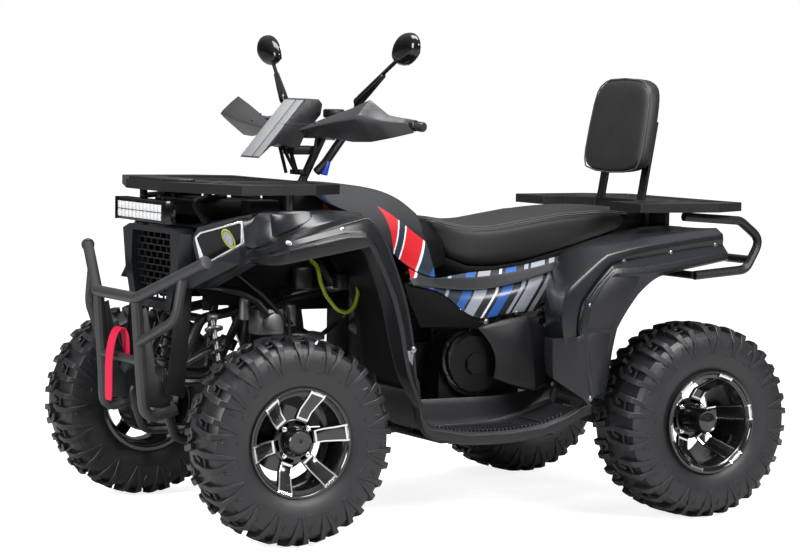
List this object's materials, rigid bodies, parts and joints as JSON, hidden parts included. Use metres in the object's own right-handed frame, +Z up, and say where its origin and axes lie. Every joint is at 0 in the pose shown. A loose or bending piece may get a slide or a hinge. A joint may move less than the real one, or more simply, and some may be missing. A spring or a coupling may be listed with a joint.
{
  "type": "utility quad bike",
  "caption": "Four-wheeled quad bike with handlebar steering, front and rear racks, tube bumper, long saddle, backrest and lugged off-road tyres.",
  "frame": {"origin": "on the floor under the middle of the machine", "axes": "+X forward, +Y to the rider's left, +Z up"},
  "size_m": [1.9573, 1.2, 1.338],
  "materials": {
    "black_paint": "satin black powder coat",
    "charcoal_plastic": "semi-gloss charcoal moulding",
    "black_plastic": "grained black moulding",
    "grey_plastic": "satin dark grey moulding",
    "graphic_plastic": "gloss moulding with stripes",
    "seat_vinyl": "black vinyl",
    "red_lens": "red lens",
    "lamp_lens": "clear lamp lens over a dark housing",
    "engine_alloy": "dark painted alloy",
    "shock_steel": "black coil over damper",
    "red_webbing": "woven webbing",
    "black_rubber": "moulded rubber",
    "axle_steel": "machined steel",
    "tyre_rubber": "tyre rubber",
    "rim_alloy": "gloss black with machined edges"
  },
  "bodies": {
    "chassis": {"frame": "black_paint", "front_bumper": "black_paint", "front_rack": "black_paint", "rear_rack": "black_paint", "grab_bar": "black_paint", "front_body": "charcoal_plastic", "tank_cover": "charcoal_plastic", "seat": "seat_vinyl", "side_panels": "graphic_plastic", "front_flares": "black_plastic", "rear_body": "charcoal_plastic", "tail_lights": "red_lens", "footwells": "black_plastic", "grille_surround": "grey_plastic", "grille": "black_plastic", "headlights": "lamp_lens", "light_bar": "black_paint", "engine": "engine_alloy", "battery_box": "black_plastic", "exhaust": "black_paint", "swingarm": "black_paint", "shocks": "shock_steel", "front_arms": "black_paint", "backrest_pad": "seat_vinyl", "backrest_frame": "black_paint", "tow_strap": "red_webbing"},
    "steering": {"steering_column": "black_paint", "handlebar": "black_paint", "grips_levers": "black_rubber", "mirrors": "black_plastic", "hand_guards": "grey_plastic", "instrument_pod": "grey_plastic"},
    "knuckle_left": {"knuckle_left": "black_paint"},
    "tie_rod_left": {"tie_rod_left": "axle_steel"},
    "front_wheel_left": {"tyre_front_left": "tyre_rubber", "rim_front_left": "rim_alloy"},
    "knuckle_right": {"knuckle_right": "black_paint"},
    "tie_rod_right": {"tie_rod_right": "axle_steel"},
    "front_wheel_right": {"tyre_front_right": "tyre_rubber", "rim_front_right": "rim_alloy"},
    "rear_wheels": {"rear_axle": "axle_steel", "tyre_rear_left": "tyre_rubber", "rim_rear_left": "rim_alloy", "tyre_rear_right": "tyre_rubber", "rim_rear_right": "rim_alloy"}
  },
  "joints": [
    {"name": "steering_turn", "type": "hinge", "parent": "chassis", "child": "steering", "pos_m": [0.65, 0, 0.44], "axis": [-0.4478, 0, 0.8942], "range_deg": [-36, 36]},
    {"name": "knuckle_turn_left", "type": "hinge", "parent": "chassis", "child": "knuckle_left", "pos_m": [0.682, 0.4, 0.273], "axis": [0, 0, 1], "range_deg": [-32.4, 32.4]},
    {"name": "tie_rod_turn_left", "type": "hinge", "parent": "steering", "child": "tie_rod_left", "pos_m": [0.58741, 0.022, 0.40866], "axis": [-0.4478, 0, 0.8942], "range_deg": [-36, 36]},
    {"name": "front_wheel_spin_left", "type": "hinge", "parent": "knuckle_left", "child": "front_wheel_left", "pos_m": [0.682, 0.494, 0.273], "axis": [0, 1, 0], "continuous": true},
    {"name": "knuckle_turn_right", "type": "hinge", "parent": "chassis", "child": "knuckle_right", "pos_m": [0.682, -0.4, 0.273], "axis": [0, 0, 1], "range_deg": [-32.4, 32.4]},
    {"name": "tie_rod_turn_right", "type": "hinge", "parent": "steering", "child": "tie_rod_right", "pos_m": [0.58741, -0.022, 0.40866], "axis": [-0.4478, 0, 0.8942], "range_deg": [-36, 36]},
    {"name": "front_wheel_spin_right", "type": "hinge", "parent": "knuckle_right", "child": "front_wheel_right", "pos_m": [0.682, -0.494, 0.273], "axis": [0, 1, 0], "continuous": true},
    {"name": "rear_axle_spin", "type": "hinge", "parent": "chassis", "child": "rear_wheels", "pos_m": [-0.582, 0, 0.273], "axis": [0, 1, 0], "continuous": true}
  ],
  "couplings": [
    {"joint": "knuckle_turn_left", "follows": "steering_turn", "ratio": 0.9},
    {"joint": "tie_rod_turn_left", "follows": "steering_turn", "ratio": -1},
    {"joint": "knuckle_turn_right", "follows": "steering_turn", "ratio": 0.9},
    {"joint": "tie_rod_turn_right", "follows": "steering_turn", "ratio": -1}
  ]
}
